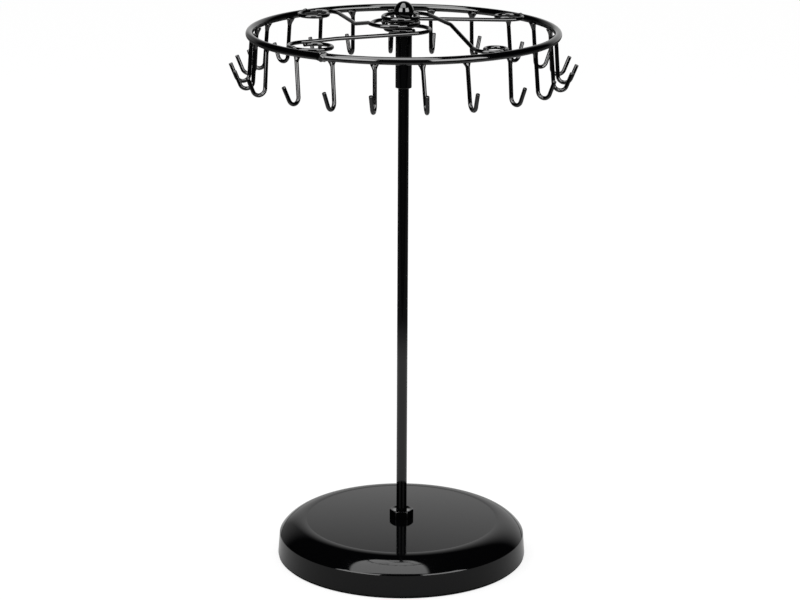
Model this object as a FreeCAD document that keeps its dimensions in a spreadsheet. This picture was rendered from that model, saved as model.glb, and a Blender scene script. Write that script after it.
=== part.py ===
"""Rotating necklace stand: a weighted round foot, a post, and a wheel of hooks.

Millimetres, +Z up.  The origin is on the floor under the middle of the post.
The foot, the post and their nuts stand still.  The ring, its hooks, its four
scrolls, the sleeve and the ball turn together about the post.
"""
import FreeCAD, Part
import math
import os
import re
import Sketcher
from FreeCAD import Placement, Rotation, Vector

DRIVING_SIZES = (
    # foot
    ("foot_radius", 82.2),
    ("wall_height", 15.6),
    ("wall_lean", 1.1),
    ("shoulder_width", 13.1),
    ("shoulder_rise", 8.6),
    ("shoulder_radius", 20.0),
    ("crown_rise", 1.8),
    ("wall_edge_round", 1.8),
    ("plateau_edge_round", 16.0),
    ("sheet_thickness", 1.2),
    ("pad_inset", 1.2),
    ("pad_thickness", 1.0),
    ("flange_inset", 0.3),
    ("flange_thickness", 1.0),
    ("weight_thickness", 6.0),
    ("weight_clearance", 0.4),
    ("recess_clearance", 2.0),
    ("recess_depth", 4.8),
    # post and its nuts
    ("rod_diameter", 6.9),
    ("rod_foot_clearance", 0.6),
    ("rod_chamfer", 0.6),
    ("hole_clearance", 0.15),
    ("nut_flats", 14.1),
    ("nut_thickness", 5.2),
    ("lock_nut_flats", 13.0),
    ("lock_nut_thickness", 2.8),
    ("nut_clearance", 0.02),
    ("nut_corner_cut", 0.9),
    ("washer_rim", 5.5),
    ("washer_thickness", 1.0),
    # ring, sleeve and ball
    ("ring_height", 351.3),
    ("ring_radius", 97.6),
    ("ring_wire", 4.8),
    ("sleeve_rise", 5.5),
    ("sleeve_length", 40.8),
    ("sleeve_diameter", 10.4),
    ("spin_clearance", 0.15),
    ("end_clearance", 0.2),
    ("spigot_length", 4.5),
    ("spigot_clearance", 0.03),
    ("neck_diameter", 7.6),
    ("neck_length", 2.2),
    ("ball_diameter", 12.4),
    # hooks
    ("hook_count", 23),
    ("hook_first_angle", 13.2),
    ("hook_wire", 2.6),
    ("hook_leg", 24.4),
    ("hook_bend", 4.3),
    ("hook_tip", 9.6),
    ("hook_tip_angle", 26.0),
    ("hook_lean", 4.0),
    ("hook_inset", 1.4),
    ("seat_clearance", 0.05),
    ("bead_radius", 2.1),
    ("bead_length", 3.4),
    ("bead_stand", 1.05),
    ("bead_slant", 45.0),
    ("bead_shift", 0.8),
    # scrolls
    ("scroll_wire", 2.5),
    ("scroll_bend", 15.5),
    ("scroll_inner_turn", 200.0),
    ("scroll_rim_lift", 1.5),
    ("scroll_hub_lift", 2.2),
    ("slope_bend", 16.0),
    ("scroll_bead_radius", 1.3),
    ("scroll_bead_length", 1.6),
)

# How far each hook is off its even place around the ring, and how far its leg
# swings out of the upright, in degrees: they are set and welded by eye.
HOOK_DRIFT = (-0.5, 0.0, 0.0, 2.0, 3.5, 3.0, 3.5, 2.0, 2.5, 2.5, -1.5, -3.5,
              -5.0, -8.0, -5.0, -4.5, -4.0, -2.5, -1.5, 1.5, 1.0, 0.5, 0.0)
HOOK_SWAY = (2.0, -1.0, -2.0, 1.0, 0.0, 2.0, -1.0, 0.0, 1.0, 2.0, -2.0, 1.0,
             0.0, 2.0, 8.0, 5.0, 1.0, 4.0, 3.0, 0.0, 2.0, 3.0, 1.0)

# Each scroll's place around the ring and how far its line swings to the side of the
# post, in degrees, then its outer curl's size as a share of its hub curl's, and where
# its climb begins and ends, as shares of its straight.  They lie one over the other
# at the hub, the first one lowest.
SCROLLS = (
    (225.4, -1.0, 0.95, 0.05, 0.30),
    (37.0, -5.7, 0.62, 0.05, 0.85),
    (133.0, -5.8, 0.85, 0.52, 0.97),
    (309.0, -2.0, 0.60, 0.07, 0.58),
)

document = FreeCAD.newDocument("NecklaceStand")
sheet = document.addObject("Spreadsheet::Sheet", "sizes")
for row, (alias, value) in enumerate(DRIVING_SIZES, start=1):
    sheet.set(f"A{row}", alias.replace("_", " "))
    sheet.set(f"B{row}", str(value))
    sheet.setAlias(f"B{row}", alias)
document.recompute()

sub_parts = []


def size(text):
    """Value of a formula over the sheet's names, such as 'ring_wire / 2'."""
    return float(sheet.evalExpression(text))


def linked(text):
    """The same formula with each name pointing at its cell, for a binding."""
    return re.sub(r"\b(" + "|".join(alias for alias, _ in DRIVING_SIZES) + r")\b", r"sizes.\1", text)


def bind(thing, prop, text):
    thing.setExpression(prop, linked(text))


def keep(thing, label):
    """Name a finished sub-part and put it on the list that is written out."""
    thing.Label = label
    sub_parts.append(thing)
    return thing


def raise_by(thing, text):
    bind(thing, "Placement.Base.z", text)


def new_body(name):
    return document.addObject("PartDesign::Body", name + "_body")


def plane(body, role):
    return next(item for item in body.Origin.OriginFeatures if item.Role == role)


def sketch_on(body, role, name):
    sketch = body.newObject("Sketcher::SketchObject", name)
    sketch.AttachmentSupport = (plane(body, role), [""])
    sketch.MapMode = "FlatFace"
    return sketch


def pin_point(sketch, edge, end, across, up):
    """Hold one end of an edge at a place given by two formulas."""
    for direction, axis, text in (("DistanceX", -2, across), ("DistanceY", -1, up)):
        if text == "0":
            sketch.addConstraint(Sketcher.Constraint("PointOnObject", edge, end, axis))
            continue
        index = sketch.addConstraint(Sketcher.Constraint(direction, -1, 1, edge, end, size(text)))
        bind(sketch, f"Constraints[{index}]", text)


def arc_between(start, finish, radius):
    """Arc between two points that bulges away from the Z axis."""
    chord = finish - start
    inward = Vector(-chord.y, chord.x, 0).normalize()
    if inward.x > 0:
        inward = -inward
    middle = (start + finish) * 0.5 + inward * math.sqrt(radius ** 2 - chord.Length ** 2 / 4)
    angles = sorted(math.atan2(point.y - middle.y, point.x - middle.x) for point in (start, finish))
    return Part.ArcOfCircle(Part.Circle(middle, Vector(0, 0, 1), radius), *angles)


def draw_outline(sketch, corners):
    """Closed outline from (across, up, radius) formulas, radius '' for a line.

    The radius belongs to the edge that starts at its corner.
    """
    points = [Vector(size(across), size(up), 0) for across, up, _ in corners]
    count = len(corners)
    for index, (_, _, radius) in enumerate(corners):
        start = points[index]
        finish = points[(index + 1) % count]
        if radius:
            sketch.addGeometry(arc_between(start, finish, size(radius)))
        else:
            sketch.addGeometry(Part.LineSegment(start, finish))
    starts = []
    for index, (_, _, radius) in enumerate(corners):
        edge = sketch.Geometry[index]
        near = points[index].distanceToPoint(edge.StartPoint) < 1e-6
        starts.append(1 if near else 2)
    for index in range(count):
        after = (index + 1) % count
        joint = Sketcher.Constraint("Coincident", index, 3 - starts[index], after, starts[after])
        sketch.addConstraint(joint)
    for index, (across, up, radius) in enumerate(corners):
        pin_point(sketch, index, starts[index], across, up)
        if radius:
            held = sketch.addConstraint(Sketcher.Constraint("Radius", index, size(radius)))
            bind(sketch, f"Constraints[{held}]", radius)


def turned_body(name, corners):
    """A body turned about the Z axis from an outline in the XZ plane."""
    body = new_body(name)
    sketch = sketch_on(body, "XZ_Plane", name + "_outline")
    draw_outline(sketch, corners)
    turning = body.newObject("PartDesign::Revolution", name + "_turning")
    turning.Profile = sketch
    turning.ReferenceAxis = (sketch, ["V_Axis"])
    turning.Angle = 360
    document.recompute()
    return body


def round_edge(body, name, radius_of_edge, height_of_edge, rounding):
    """Round the circular edge that lies at a radius and a height."""
    before = body.Tip
    names = []
    for index, edge in enumerate(before.Shape.Edges, start=1):
        if not isinstance(edge.Curve, Part.Circle):
            continue
        same_radius = abs(edge.Curve.Radius - size(radius_of_edge)) < 1e-4
        same_height = abs(edge.Curve.Center.z - size(height_of_edge)) < 1e-4
        if same_radius and same_height:
            names.append(f"Edge{index}")
    fillet = body.newObject("PartDesign::Fillet", name)
    fillet.Base = (before, names)
    bind(fillet, "Radius", rounding)
    document.recompute()


# ---------------------------------------------------------------- the foot

HOLE = "rod_diameter / 2 + hole_clearance"
PLATE_RADIUS = "foot_radius - wall_lean - sheet_thickness - weight_clearance"
PLATE_TOP = "pad_thickness + flange_thickness + weight_thickness"
FLANGE_RADIUS = "foot_radius - flange_inset"
FLANGE_TOP = "pad_thickness + flange_thickness"
WEB_BOTTOM = "pad_thickness + recess_depth"
WASHER_RADIUS = "rod_diameter / 2 + washer_rim"
RECESS_RADIUS = WASHER_RADIUS + " + recess_clearance"
WALL_TOP_RADIUS = "foot_radius - wall_lean"
PLATEAU_RADIUS = "foot_radius - wall_lean - shoulder_width"
PLATEAU_HEIGHT = "wall_height + shoulder_rise"
CROWN_HEIGHT = "wall_height + shoulder_rise + crown_rise"
CROWN_RADIUS = f"(({PLATEAU_RADIUS})^2 + crown_rise^2) / (2 * crown_rise)"


def make_base_pad():
    """Thin foam disc under the foot, which grips the table."""
    pad = document.addObject("Part::Cylinder", "base_pad_disc")
    bind(pad, "Radius", "foot_radius - pad_inset")
    bind(pad, "Height", "pad_thickness")
    return keep(pad, "base_pad")


def make_base_weight():
    """Steel disc inside the foot: its thin flange carries the pressed cover."""
    return keep(turned_body("base_weight", (
        (HOLE, WEB_BOTTOM, ""),
        (RECESS_RADIUS, WEB_BOTTOM, ""),
        (RECESS_RADIUS, "pad_thickness", ""),
        (FLANGE_RADIUS, "pad_thickness", ""),
        (FLANGE_RADIUS, FLANGE_TOP, ""),
        (PLATE_RADIUS, FLANGE_TOP, ""),
        (PLATE_RADIUS, PLATE_TOP, ""),
        (HOLE, PLATE_TOP, ""),
    )), "base_weight")


def make_base_shell():
    """Pressed steel cover: low crown, round shoulder and a nearly upright wall."""
    body = turned_body("base_shell", (
        (HOLE, CROWN_HEIGHT + " - sheet_thickness", CROWN_RADIUS),
        (PLATEAU_RADIUS, PLATEAU_HEIGHT + " - sheet_thickness", "shoulder_radius"),
        (WALL_TOP_RADIUS + " - sheet_thickness", "wall_height - sheet_thickness", ""),
        ("foot_radius - sheet_thickness", FLANGE_TOP, ""),
        ("foot_radius", FLANGE_TOP, ""),
        (WALL_TOP_RADIUS, "wall_height", "shoulder_radius"),
        (PLATEAU_RADIUS, PLATEAU_HEIGHT, CROWN_RADIUS),
        (HOLE, CROWN_HEIGHT, ""),
    ))
    round_edge(body, "wall_edge", WALL_TOP_RADIUS, "wall_height", "wall_edge_round")
    round_edge(body, "plateau_edge", PLATEAU_RADIUS, PLATEAU_HEIGHT, "plateau_edge_round")
    return keep(body, "base_shell")


# ---------------------------------------------------------------- post and nuts

ROD_FOOT = "pad_thickness + rod_foot_clearance"
SLEEVE_TOP = "ring_height + sleeve_rise"
ROD_TOP = SLEEVE_TOP + " - spigot_length - end_clearance"


def make_post_rod():
    """Round steel bar from the recess under the weight up into the sleeve."""
    rod_radius = "rod_diameter / 2"
    return keep(turned_body("post_rod", (
        ("0", ROD_FOOT, ""),
        (rod_radius + " - rod_chamfer", ROD_FOOT, ""),
        (rod_radius, ROD_FOOT + " + rod_chamfer", ""),
        (rod_radius, ROD_TOP + " - rod_chamfer", ""),
        (rod_radius + " - rod_chamfer", ROD_TOP, ""),
        ("0", ROD_TOP, ""),
    )), "post_rod")


def make_hex_nut(label, flats, thickness, seat):
    """Hexagon with its top corners turned off, bored to sit on the rod."""
    hexagon = document.addObject("Part::Prism", label + "_hexagon")
    hexagon.Polygon = 6
    bind(hexagon, "Circumradius", f"{flats} / 2 / cos(30)")
    bind(hexagon, "Height", thickness)
    crown = document.addObject("Part::Cone", label + "_crown")
    bind(crown, "Radius1", f"{flats} / 2 / cos(30) - nut_corner_cut + {thickness} * 2")
    bind(crown, "Radius2", f"{flats} / 2 / cos(30) - nut_corner_cut")
    bind(crown, "Height", thickness)
    turned = document.addObject("Part::Common", label + "_turned")
    turned.Base = hexagon
    turned.Tool = crown
    bore = document.addObject("Part::Cylinder", label + "_bore")
    bind(bore, "Radius", "rod_diameter / 2 + nut_clearance")
    bind(bore, "Height", thickness)
    nut = document.addObject("Part::Cut", label + "_bored")
    nut.Base = turned
    nut.Tool = bore
    raise_by(nut, seat)
    return keep(nut, label)


def make_base_washer():
    """Flat washer between the lock nut and the weight."""
    disc = document.addObject("Part::Cylinder", "washer_disc")
    bind(disc, "Radius", WASHER_RADIUS)
    bind(disc, "Height", "washer_thickness")
    bore = document.addObject("Part::Cylinder", "washer_bore")
    bind(bore, "Radius", HOLE)
    bind(bore, "Height", "washer_thickness")
    washer = document.addObject("Part::Cut", "washer")
    washer.Base = disc
    washer.Tool = bore
    raise_by(washer, WEB_BOTTOM + " - washer_thickness")
    return keep(washer, "base_washer")


# ---------------------------------------------------------------- ring, sleeve, ball

SLEEVE_BORE = "rod_diameter / 2 + spin_clearance"


def make_ring():
    """Thick wire ring that carries the hooks."""
    ring = document.addObject("Part::Torus", "ring_torus")
    bind(ring, "Radius1", "ring_radius")
    bind(ring, "Radius2", "ring_wire / 2")
    raise_by(ring, "ring_height")
    return keep(ring, "ring")


def make_hub_sleeve():
    """Tube that slips over the rod and turns on it."""
    return keep(turned_body("hub_sleeve", (
        (SLEEVE_BORE, SLEEVE_TOP + " - sleeve_length", ""),
        ("sleeve_diameter / 2", SLEEVE_TOP + " - sleeve_length", ""),
        ("sleeve_diameter / 2", SLEEVE_TOP, ""),
        (SLEEVE_BORE, SLEEVE_TOP, ""),
    )), "hub_sleeve")


def make_ball_finial():
    """Ball on a short neck; its spigot plugs the sleeve and rides on the rod's end."""
    spigot_radius = SLEEVE_BORE + " - spigot_clearance"
    ball_radius = "ball_diameter / 2"
    ball_middle = SLEEVE_TOP + " + neck_length + ball_diameter / 2"
    neck_joint = f"{ball_middle} - sqrt(({ball_radius})^2 - (neck_diameter / 2)^2)"
    return keep(turned_body("ball_finial", (
        ("0", SLEEVE_TOP + " - spigot_length", ""),
        (spigot_radius, SLEEVE_TOP + " - spigot_length", ""),
        (spigot_radius, SLEEVE_TOP, ""),
        ("neck_diameter / 2", SLEEVE_TOP, ""),
        ("neck_diameter / 2", neck_joint, ball_radius),
        (ball_radius, ball_middle, ball_radius),
        ("0", ball_middle + " + " + ball_radius, ""),
    )), "ball_finial")


# ---------------------------------------------------------------- hooks

def hook_angle(index):
    spacing = 360 / size("hook_count")
    return size("hook_first_angle") + index * spacing + HOOK_DRIFT[index % len(HOOK_DRIFT)]


def hook_seat(index):
    """Placement that hangs a hook under the ring: leg down, tip pointing outward."""
    around = Rotation(Vector(0, 0, 1), hook_angle(index))
    upside_down = Rotation(Vector(1, 0, 0), 180)
    lean = Rotation(Vector(0, 1, 0), -size("hook_lean"))
    sway = Rotation(Vector(1, 0, 0), HOOK_SWAY[index % len(HOOK_SWAY)])
    under_ring = size("ring_height - ring_wire / 2 - seat_clearance")
    place = around.multVec(Vector(size("ring_radius - hook_inset"), 0, 0))
    place.z = under_ring
    return Placement(place, around.multiply(lean).multiply(sway).multiply(upside_down))


def make_hook(index):
    """Wire hook: straight leg, half round bend and a short tip that leans outward."""
    label = f"hook_{index + 1:02d}"
    body = new_body(label)
    section = sketch_on(body, "XY_Plane", label + "_section")
    section.addGeometry(Part.Circle(Vector(0, 0, 0), Vector(0, 0, 1), size("hook_wire / 2")))
    section.addConstraint(Sketcher.Constraint("Coincident", 0, 3, -1, 1))
    section.addConstraint(Sketcher.Constraint("Radius", 0, size("hook_wire / 2")))
    bind(section, "Constraints[1]", "hook_wire / 2")

    leg = size("hook_leg")
    bend = size("hook_bend")
    tip = size("hook_tip")
    slant = math.radians(size("hook_tip_angle"))
    middle = Vector(bend, leg, 0)
    top = Vector(bend, leg + bend, 0)
    bend_end = middle + Vector(math.cos(slant), math.sin(slant), 0) * bend
    tip_end = bend_end + Vector(math.sin(slant), -math.cos(slant), 0) * tip
    path = sketch_on(body, "XZ_Plane", label + "_path")
    path.addGeometry(Part.LineSegment(Vector(0, 0, 0), Vector(0, leg, 0)))
    path.addGeometry(Part.Arc(bend_end, top, Vector(0, leg, 0)))
    path.addGeometry(Part.LineSegment(bend_end, tip_end))
    for constraint in (
            ("Coincident", 0, 1, -1, 1),
            ("Vertical", 0),
            ("Tangent", 0, 2, 1, 2),
            ("Tangent", 1, 1, 2, 1)):
        path.addConstraint(Sketcher.Constraint(*constraint))
    for constraint, formula in (
            (("Distance", 0, leg), "hook_leg"),
            (("Radius", 1, bend), "hook_bend"),
            (("Distance", 2, tip), "hook_tip"),
            (("DistanceX", -1, 1, 2, 1, bend_end.x), "hook_bend * (1 + cos(hook_tip_angle))")):
        held = path.addConstraint(Sketcher.Constraint(*constraint))
        bind(path, f"Constraints[{held}]", formula)
    document.recompute()

    pipe = body.newObject("PartDesign::AdditivePipe", label + "_wire")
    pipe.Profile = section
    pipe.Spine = (path, ["Edge1", "Edge2", "Edge3"])
    body.Placement = hook_seat(index)
    return keep(body, label)


# ---------------------------------------------------------------- scrolls

RIM_REACH = "ring_wire / 2 + scroll_wire / 2 + seat_clearance"
TIGHT_BEND = "(scroll_bend + sleeve_diameter / 2 + scroll_wire / 2 + seat_clearance) / 2"


def curl_share(index, side):
    """Size of a curl as a share of the hub curl's; side is -1 outer or 1 at the hub."""
    return SCROLLS[index][2] if side < 0 else 1.0


def curl_distance(index):
    """Distance of the outer curl's middle from the post: the curl touches the ring."""
    touching = size(f"sqrt(({RIM_REACH})^2 - scroll_rim_lift^2)")
    return size("ring_radius") - touching - curl_share(index, -1) * size("scroll_bend")


def half_straight(index):
    """Half the straight between the two curls, so that the hub curl meets the sleeve."""
    both = (1 + curl_share(index, -1)) * size("scroll_bend")
    return math.sqrt(curl_distance(index) ** 2 - both ** 2) / 2


def scroll_rise(index):
    """Height of a scroll's hub curl above its outer curl: each lies on the one before."""
    return size(f"scroll_hub_lift - scroll_rim_lift + {index} * (scroll_wire + seat_clearance)")


def curl(index, side, height):
    """The two arcs of one curl, from the straight inward: a half turn, then a tighter arc."""
    half = half_straight(index)
    wide = size("scroll_bend") * curl_share(index, side)
    tight = size(TIGHT_BEND) * curl_share(index, side)
    turn = size("scroll_inner_turn")

    def on_arc(centre, radius, degrees):
        angle = math.radians(degrees)
        reach = Vector(math.cos(angle), math.sin(angle), 0) * radius
        flat = (centre + reach) * -side
        return Vector(flat.x, flat.y, height)

    big = Vector(-half, -wide, 0)
    small = Vector(-half, -2 * wide + tight, 0)
    first = Part.Arc(*(on_arc(big, wide, degrees) for degrees in (90, 180, 270)))
    second = Part.Arc(*(on_arc(small, tight, 270 + turn * share) for share in (0, 0.5, 1)))
    return [first, second]


def slope(index, rise):
    """The straight: level, then a bend up, a slope, a bend back and level again."""
    half = half_straight(index)
    bend = size("slope_bend")
    begins, ends = SCROLLS[index][3:]
    run = 2 * half * (ends - begins)
    start = half * (2 * begins - 1)
    reach = math.hypot(2 * bend - rise, run)
    climb = math.atan2(run, 2 * bend - rise) - math.acos(2 * bend / reach)
    low_middle = Vector(start, 0, bend)
    high_middle = Vector(start + run, 0, rise - bend)

    def around(middle, angle, sense):
        return middle + Vector(math.sin(angle), 0, -math.cos(angle)) * bend * sense

    low = [around(low_middle, climb * share, 1) for share in (0, 0.5, 1)]
    high = [around(high_middle, climb * share, -1) for share in (1, 0.5, 0)]
    return [
        Part.LineSegment(Vector(-half, 0, 0), low[0]),
        Part.Arc(*low),
        Part.LineSegment(low[2], high[0]),
        Part.Arc(*high),
        Part.LineSegment(high[2], Vector(half, 0, rise)),
    ]


def scroll_place(index):
    """Placement of a scroll, whose own frame has the middle of its straight at zero."""
    azimuth, swing = SCROLLS[index][:2]
    half = half_straight(index)
    outer_bend = curl_share(index, -1) * size("scroll_bend")
    half_angle = math.degrees(math.atan2(outer_bend + size("scroll_bend"), 2 * half))
    turning = Rotation(Vector(0, 0, 1), azimuth + 180 + swing - half_angle)
    across = Rotation(Vector(0, 0, 1), azimuth).multVec(Vector(curl_distance(index), 0, 0))
    place = across + turning.multVec(Vector(half, outer_bend, 0))
    place.z = size("ring_height + scroll_rim_lift")
    return Placement(place, turning)


def make_scroll(index):
    """S-shaped wire from the ring to the hub; the four cross one over the other."""
    rise = scroll_rise(index)
    outer_curl = curl(index, -1, 0)
    hub_curl = curl(index, 1, rise)
    spans = outer_curl[::-1] + slope(index, rise) + hub_curl
    path = Part.Wire(Part.__sortEdges__([span.toShape() for span in spans]))
    start = outer_curl[1].toShape().valueAt(outer_curl[1].toShape().LastParameter)
    heading = outer_curl[1].toShape().tangentAt(outer_curl[1].toShape().LastParameter)
    section = Part.Wire(Part.Circle(start, heading, size("scroll_wire / 2")).toShape())
    scroll = document.addObject("Part::Feature", f"scroll_{index + 1}_wire")
    scroll.Shape = path.makePipeShell([section], True, False)
    scroll.Placement = scroll_place(index)
    return keep(scroll, f"scroll_{index + 1}")


# ---------------------------------------------------------------- welds

def bead(radius, length, place, angle):
    """Round-ended bead of weld metal lying along the ring at a place."""
    end = length / 2
    slant = radius * math.sqrt(0.5)
    edges = [
        Part.LineSegment(Vector(0, -end - radius, 0), Vector(0, end + radius, 0)),
        Part.Arc(Vector(0, end + radius, 0), Vector(slant, end + slant, 0), Vector(radius, end, 0)),
        Part.LineSegment(Vector(radius, end, 0), Vector(radius, -end, 0)),
        Part.Arc(Vector(radius, -end, 0), Vector(slant, -end - slant, 0), Vector(0, -end - radius, 0)),
    ]
    half_section = Part.Face(Part.Wire([edge.toShape() for edge in edges]))
    metal = half_section.revolve(Vector(0, 0, 0), Vector(0, 1, 0), 360)
    metal.Placement = Placement(place, Rotation(Vector(0, 0, 1), angle))
    return metal


def left_of(metal, others):
    """What is left of a bead outside the pieces that it joins."""
    for other in others:
        metal = metal.cut(other.Shape)
    return max(metal.Solids, key=lambda solid: solid.Volume)


def make_hook_welds(ring, hooks, scrolls):
    """One bead where each hook's leg meets the inner underside of the ring."""
    beads = []
    slant = math.radians(size("bead_slant"))
    off_centre = size("ring_wire / 2 + bead_stand")
    for index, hook in enumerate(hooks):
        around = Rotation(Vector(0, 0, 1), hook_angle(index))
        inward = size("ring_radius") - off_centre * math.cos(slant)
        place = around.multVec(Vector(inward, -size("bead_shift"), 0))
        place.z = size("ring_height") - off_centre * math.sin(slant)
        metal = bead(size("bead_radius"), size("bead_length"), place, hook_angle(index))
        beads.append(left_of(metal, [ring, hook] + scrolls))
    welds = document.addObject("Part::Feature", "hook_weld_beads")
    welds.Shape = Part.makeCompound(beads)
    return keep(welds, "hook_welds")


def hub_touch(index):
    """Point of a scroll's centre line that is nearest to the sleeve."""
    inset = size(f"2 * (scroll_bend - {TIGHT_BEND})")
    return scroll_place(index).multVec(Vector(half_straight(index), inset, scroll_rise(index)))


def make_scroll_welds(ring, sleeve, scrolls):
    """Beads on top of the scrolls at the ring, and under the lower two at the sleeve."""
    radius = size("scroll_bead_radius")
    length = size("scroll_bead_length")
    beads = []
    for index, scroll in enumerate(scrolls):
        azimuth = SCROLLS[index][0]
        around = Rotation(Vector(0, 0, 1), azimuth)
        place = around.multVec(Vector(size("ring_radius - ring_wire / 2"), 0, 0))
        place.z = size("ring_height + scroll_rim_lift + scroll_wire / 2")
        beads.append(left_of(bead(radius, length, place, azimuth), [ring, scroll]))
    for index in range(2):
        touch = hub_touch(index)
        azimuth = math.degrees(math.atan2(touch.y, touch.x))
        around = Rotation(Vector(0, 0, 1), azimuth)
        place = around.multVec(Vector(size("sleeve_diameter / 2"), 0, 0))
        place.z = touch.z - size("scroll_wire / 2")
        beads.append(left_of(bead(radius, length, place, azimuth), [sleeve] + scrolls[:2]))
    welds = document.addObject("Part::Feature", "scroll_weld_beads")
    welds.Shape = Part.makeCompound(beads)
    return keep(welds, "scroll_welds")


# ---------------------------------------------------------------- the whole stand

def check_and_write():
    """Stop on any failed object, then write each sub-part to its own file."""
    document.recompute()
    for thing in document.Objects:
        if "Invalid" in thing.State or "Error" in thing.State:
            raise RuntimeError(f"{thing.Name} failed: {thing.State}")
    os.makedirs("parts", exist_ok=True)
    for thing in sub_parts:
        if thing.Shape.isNull() or not thing.Shape.isValid():
            raise RuntimeError(f"{thing.Label} has no valid shape")
        thing.Shape.exportStep(f"parts/{thing.Label}.step")
        print(f"{thing.Label}: {len(thing.Shape.Solids)} solid, {thing.Shape.Volume:.1f} mm3")


make_base_pad()
make_base_weight()
make_base_shell()
make_post_rod()
make_hex_nut("base_nut", "nut_flats", "nut_thickness", CROWN_HEIGHT)
make_base_washer()
make_hex_nut("lock_nut", "lock_nut_flats", "lock_nut_thickness",
             WEB_BOTTOM + " - washer_thickness - lock_nut_thickness")
wheel_ring = make_ring()
hub_sleeve = make_hub_sleeve()
make_ball_finial()
all_hooks = [make_hook(index) for index in range(round(size("hook_count")))]
all_scrolls = [make_scroll(index) for index in range(len(SCROLLS))]
document.recompute()
make_hook_welds(wheel_ring, all_hooks, all_scrolls)
make_scroll_welds(wheel_ring, hub_sleeve, all_scrolls)
check_and_write()
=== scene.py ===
"""Rotating necklace stand: the finished surfaces of its pieces, its finishes and a studio.

Every piece is worked out in metres in the frame of the packed model, where +Z is up
the post and the origin is on the floor.  It is laid out as an add-on: sizes are
properties, and each group of pieces has an operator of its own.
"""

import math

import bpy
import numpy as np
from bpy.props import FloatProperty, FloatVectorProperty, PointerProperty
from bpy.types import Operator, Panel, PropertyGroup
from mathutils import Matrix, Vector


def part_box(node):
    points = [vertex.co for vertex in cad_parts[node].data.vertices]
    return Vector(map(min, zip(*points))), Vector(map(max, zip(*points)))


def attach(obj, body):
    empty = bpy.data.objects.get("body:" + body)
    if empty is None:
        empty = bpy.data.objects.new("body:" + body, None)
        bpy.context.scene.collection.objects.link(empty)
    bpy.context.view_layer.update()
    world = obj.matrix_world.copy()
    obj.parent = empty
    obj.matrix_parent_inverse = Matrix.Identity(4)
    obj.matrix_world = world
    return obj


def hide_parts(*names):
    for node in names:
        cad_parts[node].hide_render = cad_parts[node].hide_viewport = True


bl_info = {
    "name": "Rotating Necklace Stand",
    "version": (1, 0, 0),
    "blender": (4, 5, 0),
    "location": "View3D > Sidebar > Necklace Stand",
    "description": "Builds the enamelled surfaces of a rotating necklace stand",
    "category": "Mesh",
}

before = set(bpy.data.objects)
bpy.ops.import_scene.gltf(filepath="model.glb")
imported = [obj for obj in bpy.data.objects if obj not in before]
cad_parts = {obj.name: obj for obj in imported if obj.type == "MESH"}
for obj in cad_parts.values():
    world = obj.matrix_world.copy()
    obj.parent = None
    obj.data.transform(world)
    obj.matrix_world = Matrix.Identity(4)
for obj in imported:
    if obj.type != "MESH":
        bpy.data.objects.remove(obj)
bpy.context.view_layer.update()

MM = 0.001
FULL_TURN = 2 * math.pi

# How much further out than the post's surface these lie: the holes that it passes
# freely, the nut's bore, and the surface of the spigot under the ball.
FREE_HOLE = 0.15 * MM
NUT_BORE = 0.02 * MM
SPIGOT = 0.12 * MM

# First seeds of the webs on the hooks and of the beads at the ring and at the hub.
WEB_SEED, RIM_SEED, HUB_SEED = 900, 50, 60

# How far each hook is off its even place round the ring, and how far its leg swings
# out of the upright, in degrees: they are set and welded by eye.
HOOK_DRIFT = (-0.5, 0.0, 0.0, 2.0, 3.5, 3.0, 3.5, 2.0, 2.5, 2.5, -1.5, -3.5,
              -5.0, -8.0, -5.0, -4.5, -4.0, -2.5, -1.5, 1.5, 1.0, 0.5, 0.0)
HOOK_SWAY = (2.0, -1.0, -2.0, 1.0, 0.0, 2.0, -1.0, 0.0, 1.0, 2.0, -2.0, 1.0,
             0.0, 2.0, 8.0, 5.0, 1.0, 4.0, 3.0, 0.0, 2.0, 3.0, 1.0)

# Each scroll's place round the ring and how far its line swings to the side of the
# post, in degrees, then its outer curl's size as a share of its hub curl's, and where
# its climb begins and ends, as shares of its straight.  The first lies lowest.
SCROLLS = (
    (225.4, -1.0, 0.95, 0.05, 0.30),
    (37.0, -5.7, 0.62, 0.05, 0.85),
    (133.0, -5.8, 0.85, 0.52, 0.97),
    (309.0, -2.0, 0.60, 0.07, 0.58),
)


# -------- sizes

def length(label, millimetres, about):
    """A length property whose default is given in millimetres."""
    return FloatProperty(name=label, description=about, default=millimetres * MM,
                         unit="LENGTH", precision=5, min=0.0)


def turn(label, degrees, about):
    """An angle property whose default is given in degrees."""
    return FloatProperty(name=label, description=about, default=math.radians(degrees),
                         unit="ROTATION", subtype="ANGLE")


def share(label, value, about):
    """A plain number property."""
    return FloatProperty(name=label, description=about, default=value)


def colour(label, red, green, blue, about):
    """A colour property, in linear values."""
    return FloatVectorProperty(name=label, description=about, default=(red, green, blue),
                               subtype="COLOR", size=3, min=0.0, max=1.0)


class FootSizes(PropertyGroup):
    """Pressed cover of the foot and the pad under it."""
    wall_height: length("Wall height", 15.6, "Level of the top of the upright wall")
    wall_lean: length("Wall lean", 1.1, "How much narrower the wall is at its top")
    shoulder_width: length("Shoulder width", 13.1, "Width of the rounded shoulder")
    shoulder_radius: length("Shoulder radius", 20.0, "Radius of the shoulder's arc")
    crown_rise: length("Crown rise", 1.8, "Rise of the low crown inside the shoulder")
    wall_edge: length("Wall edge", 1.8, "Radius between the shoulder and the wall")
    crown_edge: length("Crown edge", 16.0, "Radius between the crown and the shoulder")
    sheet: length("Sheet", 1.2, "Thickness of the pressed steel")
    rim_edge: length("Rim edge", 0.35, "Rounding of the cut edge at the bottom")
    pad_edge: length("Pad edge", 0.3, "Rounding of the foam pad's edge")


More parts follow.
